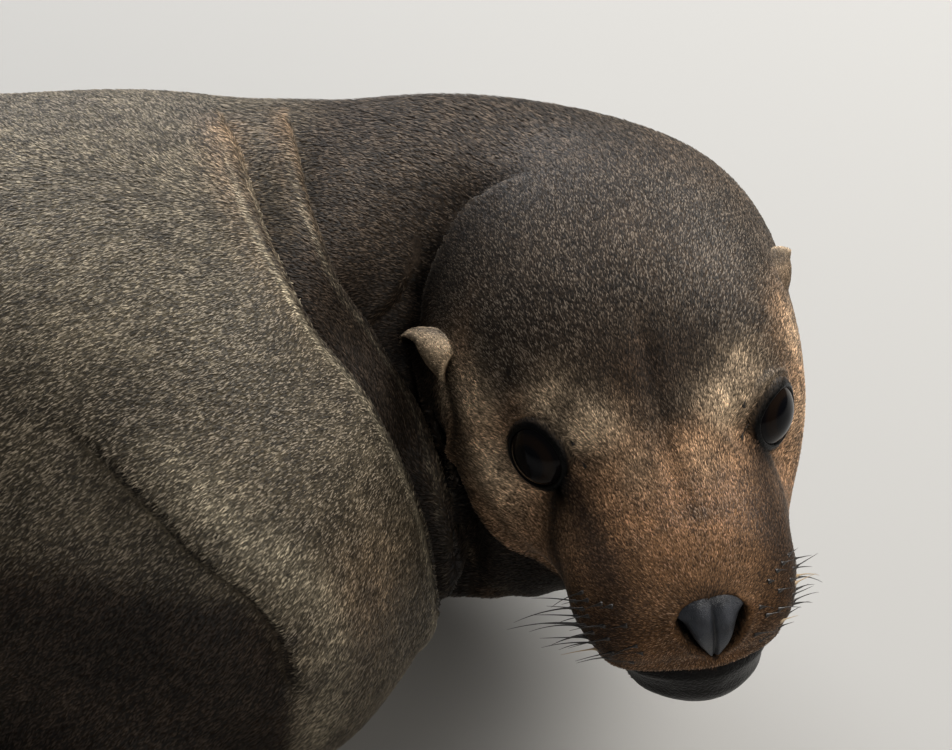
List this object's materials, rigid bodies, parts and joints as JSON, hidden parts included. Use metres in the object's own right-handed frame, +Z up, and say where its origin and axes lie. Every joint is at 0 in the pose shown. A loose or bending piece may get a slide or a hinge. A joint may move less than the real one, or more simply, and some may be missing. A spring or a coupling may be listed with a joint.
{
  "type": "sea lion model",
  "caption": "Young California sea lion lying on its belly with its head turned back over its right side, as a life-size still model.",
  "frame": {"origin": "on the floor, under the middle of the whole animal's footprint box", "axes": "+X from the tail towards the chest, +Y to the animal's left, +Z up from the floor it lies on"},
  "size_m": [0.9076, 0.5448, 0.2464],
  "materials": {
    "head": "short flat fur over skin",
    "neck": "short flat fur over loose folded skin",
    "chest": "short flat fur over skin",
    "loins": "short flat fur over skin",
    "hips": "short flat fur over skin",
    "tail": "short flat fur over skin",
    "lower_jaw": "short flat fur, bare dark lip",
    "ear_left": "short fur outside, bare fold inside",
    "ear_right": "short fur outside, bare fold inside",
    "foreflipper_left": "dark leathery skin, fur down to the wrist",
    "foreflipper_right": "dark leathery skin, fur down to the wrist",
    "hind_flipper_left": "dark leathery skin, fur down to the ankle",
    "hind_flipper_right": "dark leathery skin, fur down to the ankle",
    "nose_pad": "moist black skin",
    "eye_left": "wet, near-black",
    "eye_right": "wet, near-black"
  },
  "bodies": {
    "root": {"head": "head", "neck": "neck", "chest": "chest", "loins": "loins", "hips": "hips", "tail": "tail", "lower_jaw": "lower_jaw", "ear_left": "ear_left", "ear_right": "ear_right", "foreflipper_left": "foreflipper_left", "foreflipper_right": "foreflipper_right", "hind_flipper_left": "hind_flipper_left", "hind_flipper_right": "hind_flipper_right", "nose_pad": "nose_pad", "eye_left": "eye_left", "eye_right": "eye_right"}
  },
  "joints": []
}
